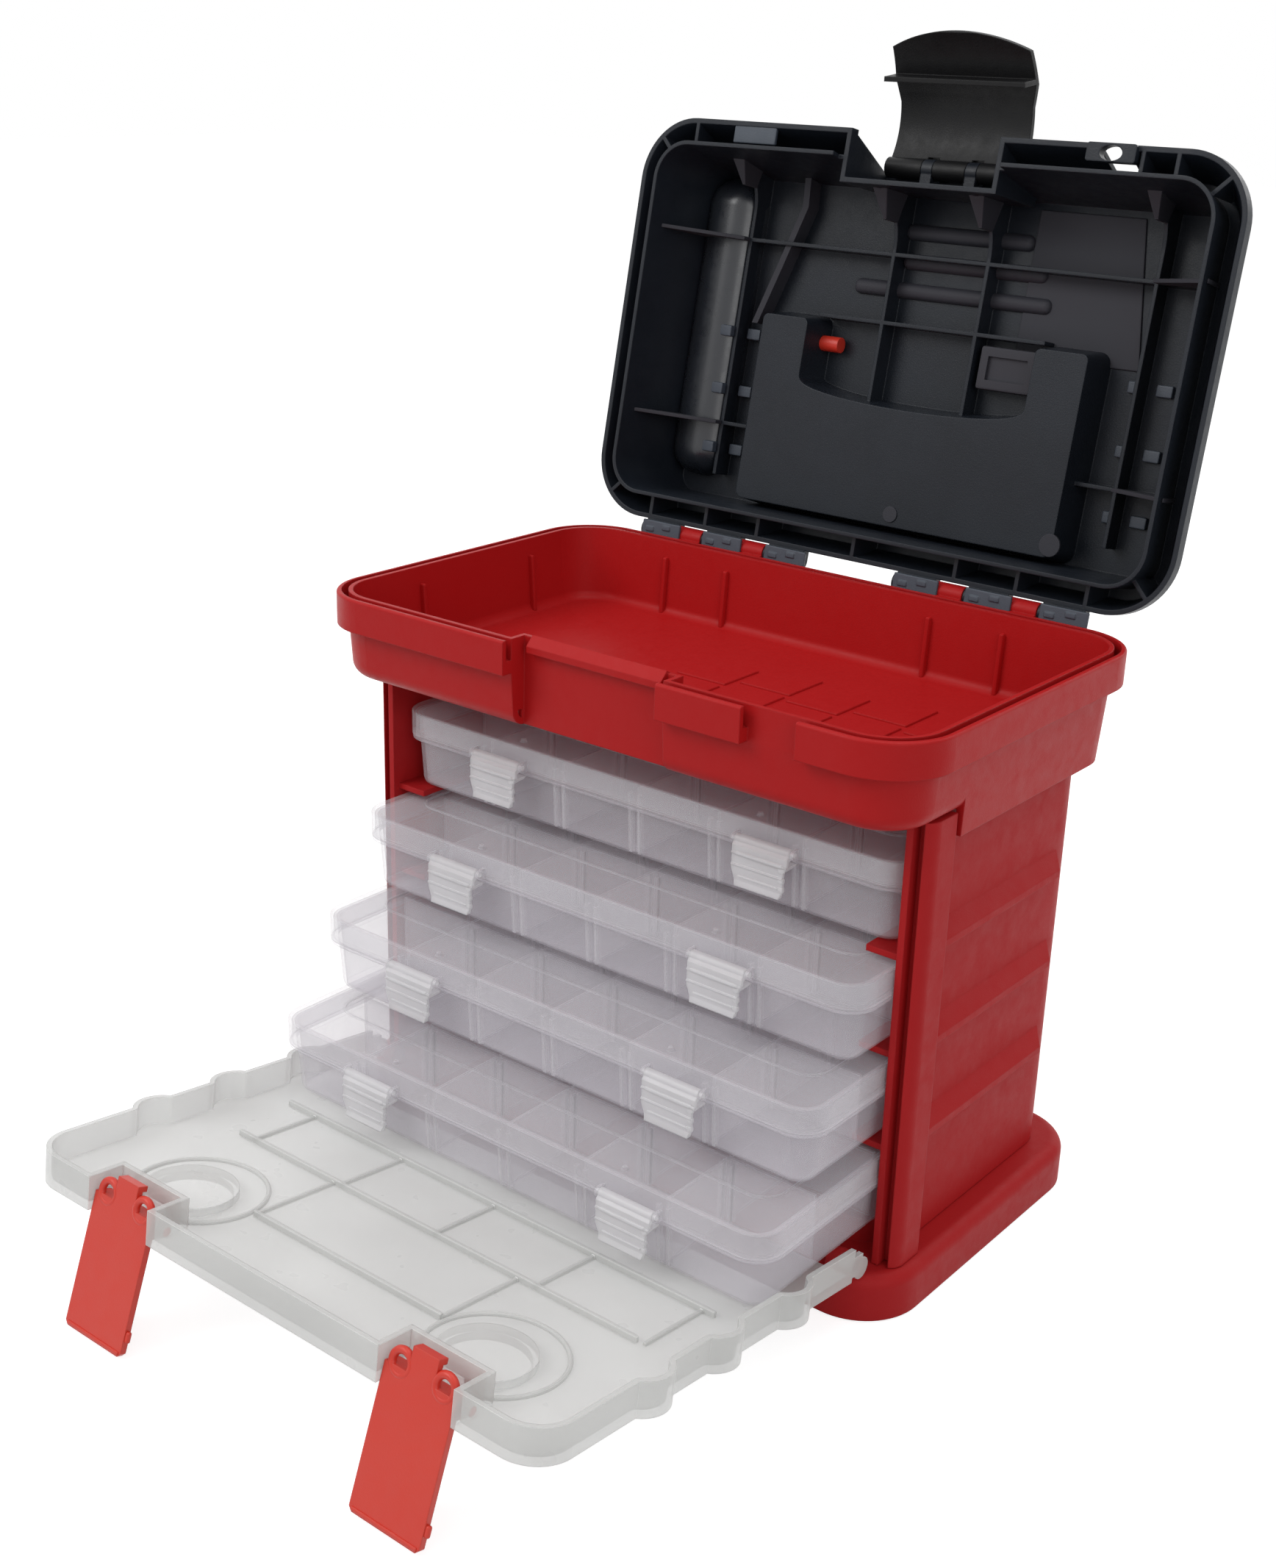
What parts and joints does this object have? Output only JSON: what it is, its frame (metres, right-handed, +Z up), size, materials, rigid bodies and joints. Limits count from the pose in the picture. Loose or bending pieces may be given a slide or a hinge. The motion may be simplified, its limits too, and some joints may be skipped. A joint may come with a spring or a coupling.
{
  "type": "tool box organizer",
  "caption": "Open rack tool box with a lidded top tray, sliding organizer boxes and a clear fold-down front door.",
  "frame": {"origin": "on the ground under the centre of the top tray, at the underside of the base", "axes": "+X to the right seen from the front, +Y to the back, +Z up"},
  "size_m": [0.277, 0.4127, 0.4359],
  "materials": {
    "red_plastic": "moulded, fine grain",
    "black_plastic": "moulded, satin",
    "clear_plastic": "milky clear",
    "latch_red_plastic": "moulded, satin",
    "steel_pin": "plain"
  },
  "bodies": {
    "case": {"base": "red_plastic", "side_wall_left": "red_plastic", "side_wall_right": "red_plastic", "back_wall": "red_plastic", "top_tray": "red_plastic", "lid_hinge_pins": "steel_pin"},
    "lid": {"lid_shell": "black_plastic", "lid_latch_pin": "steel_pin"},
    "lid_latch": {"lid_latch": "black_plastic"},
    "carry_handle": {"carry_handle": "latch_red_plastic"},
    "front_door": {"door_panel": "clear_plastic"},
    "door_latch_left": {"door_latch_left": "latch_red_plastic"},
    "door_latch_right": {"door_latch_right": "latch_red_plastic"},
    "box_1": {"box_1_tub": "clear_plastic", "box_1_lid": "clear_plastic", "box_1_dividers": "clear_plastic"},
    "box_1_latch_left": {"box_1_latch_left": "clear_plastic"},
    "box_1_latch_right": {"box_1_latch_right": "clear_plastic"},
    "box_2": {"box_2_tub": "clear_plastic", "box_2_lid": "clear_plastic", "box_2_dividers": "clear_plastic"},
    "box_2_latch_left": {"box_2_latch_left": "clear_plastic"},
    "box_2_latch_right": {"box_2_latch_right": "clear_plastic"},
    "box_3": {"box_3_tub": "clear_plastic", "box_3_lid": "clear_plastic", "box_3_dividers": "clear_plastic"},
    "box_3_latch_left": {"box_3_latch_left": "clear_plastic"},
    "box_3_latch_right": {"box_3_latch_right": "clear_plastic"},
    "box_4": {"box_4_tub": "clear_plastic", "box_4_lid": "clear_plastic", "box_4_dividers": "clear_plastic"},
    "box_4_latch_left": {"box_4_latch_left": "clear_plastic"},
    "box_4_latch_right": {"box_4_latch_right": "clear_plastic"}
  },
  "joints": [
    {"name": "lid_hinge", "type": "hinge", "parent": "case", "child": "lid", "pos_m": [0, 0.0889, 0.226], "axis": [1, 0, 0], "range_deg": [0, 101.3]},
    {"name": "lid_latch_hinge", "type": "hinge", "parent": "lid", "child": "lid_latch", "pos_m": [0, 0.14761, 0.38202], "axis": [1, 0, 0], "range_deg": [-40, 72]},
    {"name": "carry_handle_hinge", "type": "hinge", "parent": "lid", "child": "carry_handle", "pos_m": [0, 0.14046, 0.30799], "axis": [1, 0, 0], "range_deg": [-11.3, 85]},
    {"name": "front_door_hinge", "type": "hinge", "parent": "case", "child": "front_door", "pos_m": [0, -0.066, 0.0225], "axis": [1, 0, 0], "range_deg": [0, 12]},
    {"name": "door_latch_left_hinge", "type": "hinge", "parent": "front_door", "child": "door_latch_left", "pos_m": [-0.072, -0.23181, 0.04244], "axis": [1, 0, 0], "range_deg": [0, 103]},
    {"name": "door_latch_right_hinge", "type": "hinge", "parent": "front_door", "child": "door_latch_right", "pos_m": [0.072, -0.23181, 0.04244], "axis": [1, 0, 0], "range_deg": [0, 103]},
    {"name": "box_1_slide", "type": "slide", "parent": "case", "child": "box_1", "axis": [0, 1, 0], "range_m": [-0.08, 0]},
    {"name": "box_1_latch_left_hinge", "type": "hinge", "parent": "box_1", "child": "box_1_latch_left", "pos_m": [-0.0638, -0.0551, 0.1653], "axis": [1, 0, 0], "range_deg": [-95, 0]},
    {"name": "box_1_latch_right_hinge", "type": "hinge", "parent": "box_1", "child": "box_1_latch_right", "pos_m": [0.0638, -0.0551, 0.1653], "axis": [1, 0, 0], "range_deg": [-95, 0]},
    {"name": "box_2_slide", "type": "slide", "parent": "case", "child": "box_2", "axis": [0, 1, 0], "range_m": [-0.056, 0.0239]},
    {"name": "box_2_latch_left_hinge", "type": "hinge", "parent": "box_2", "child": "box_2_latch_left", "pos_m": [-0.0638, -0.079, 0.1279], "axis": [1, 0, 0], "range_deg": [-95, 0]},
    {"name": "box_2_latch_right_hinge", "type": "hinge", "parent": "box_2", "child": "box_2_latch_right", "pos_m": [0.0638, -0.079, 0.1279], "axis": [1, 0, 0], "range_deg": [-95, 0]},
    {"name": "box_3_slide", "type": "slide", "parent": "case", "child": "box_3", "axis": [0, 1, 0], "range_m": [-0.032, 0.0478]},
    {"name": "box_3_latch_left_hinge", "type": "hinge", "parent": "box_3", "child": "box_3_latch_left", "pos_m": [-0.0638, -0.1029, 0.0905], "axis": [1, 0, 0], "range_deg": [-95, 0]},
    {"name": "box_3_latch_right_hinge", "type": "hinge", "parent": "box_3", "child": "box_3_latch_right", "pos_m": [0.0638, -0.1029, 0.0905], "axis": [1, 0, 0], "range_deg": [-95, 0]},
    {"name": "box_4_slide", "type": "slide", "parent": "case", "child": "box_4", "axis": [0, 1, 0], "range_m": [-0.006, 0.0717]},
    {"name": "box_4_latch_left_hinge", "type": "hinge", "parent": "box_4", "child": "box_4_latch_left", "pos_m": [-0.0638, -0.1268, 0.0531], "axis": [1, 0, 0], "range_deg": [-95, 0]},
    {"name": "box_4_latch_right_hinge", "type": "hinge", "parent": "box_4", "child": "box_4_latch_right", "pos_m": [0.0638, -0.1268, 0.0531], "axis": [1, 0, 0], "range_deg": [-95, 0]}
  ]
}
